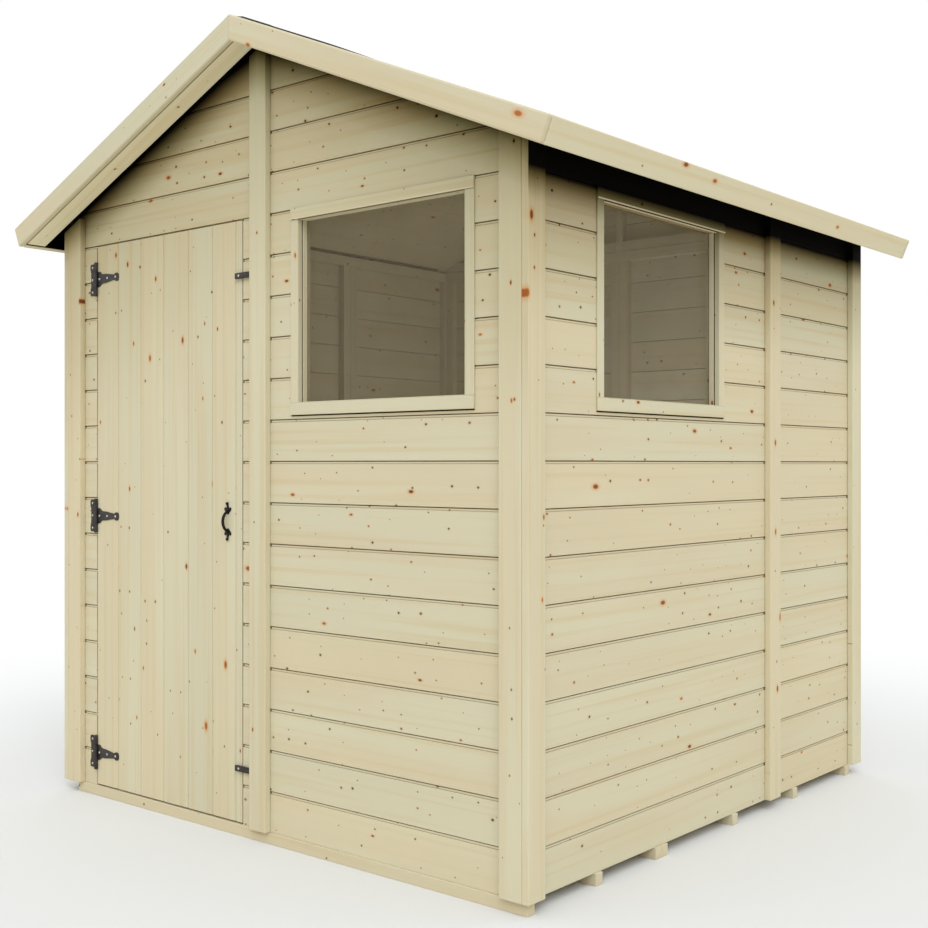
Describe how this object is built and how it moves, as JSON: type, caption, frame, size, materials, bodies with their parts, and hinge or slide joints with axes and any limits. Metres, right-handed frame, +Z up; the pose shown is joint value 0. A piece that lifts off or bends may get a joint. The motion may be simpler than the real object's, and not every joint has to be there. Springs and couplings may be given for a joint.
{
  "type": "wooden garden shed",
  "caption": "Small apex-roofed garden shed in horizontally clad pale timber, with a hinged boarded door in one gable and fixed windows in the gable and the side.",
  "frame": {"origin": "on the ground, in the middle of the shed's plan", "axes": "+Z up; -Y out through the door gable; +X out through the side wall that has the window"},
  "size_m": [2.0844, 2.024, 2.205],
  "materials": {
    "pine_boards": "planed, untreated, with knots",
    "pine_trim": "planed, untreated, with knots",
    "pine_framing": "planed, untreated",
    "black_iron": "black, semi-matt",
    "roofing_felt": "mineral-faced bitumen felt, matt",
    "window_glass": "clear, smooth"
  },
  "bodies": {
    "shed": {"floor_bearers": "pine_framing", "front_floor_panel": "pine_boards", "back_floor_panel": "pine_boards", "front_wall_left_of_door": "pine_boards", "front_wall_right_of_door": "pine_boards", "front_gable_over_door": "pine_boards", "front_wall_window_panel": "pine_boards", "right_wall_window_panel": "pine_boards", "right_wall_plain_panel": "pine_boards", "left_wall_front_panel": "pine_boards", "left_wall_back_panel": "pine_boards", "back_wall_left_panel": "pine_boards", "back_wall_right_panel": "pine_boards", "front_studs": "pine_framing", "front_rails": "pine_framing", "right_studs": "pine_framing", "right_rails": "pine_framing", "left_studs": "pine_framing", "left_rails": "pine_framing", "back_studs": "pine_framing", "back_rails": "pine_framing", "front_cover_strips": "pine_trim", "right_cover_strips": "pine_trim", "left_cover_strips": "pine_trim", "back_cover_strips": "pine_trim", "front_window_frame": "pine_trim", "front_window_glass": "window_glass", "right_window_frame": "pine_trim", "right_window_glass": "window_glass", "left_roof_panel": "pine_boards", "right_roof_panel": "pine_boards", "left_roof_felt": "roofing_felt", "right_roof_felt": "roofing_felt", "ridge_beam": "pine_framing", "rake_battens": "pine_framing", "front_bargeboards": "pine_trim", "back_bargeboards": "pine_trim", "eaves_boards": "pine_trim", "hinge_plates": "black_iron"},
    "door": {"door_boards": "pine_boards", "door_ledges": "pine_framing", "hinge_straps": "black_iron", "door_handle": "black_iron"},
    "top_button": {"top_turn_button": "black_iron"},
    "bottom_button": {"bottom_turn_button": "black_iron"}
  },
  "joints": [
    {"name": "door_swing", "type": "hinge", "parent": "shed", "child": "door", "pos_m": [-0.7645, -0.9, 0.861], "axis": [0, 0, -1], "range_deg": [0, 110]},
    {"name": "top_button_turn", "type": "hinge", "parent": "door", "child": "top_button", "pos_m": [-0.09, -0.9, 1.536], "axis": [0, 1, 0], "range_deg": [0, 90]},
    {"name": "bottom_button_turn", "type": "hinge", "parent": "door", "child": "bottom_button", "pos_m": [-0.09, -0.9, 0.185], "axis": [0, 1, 0], "range_deg": [0, 90]}
  ]
}
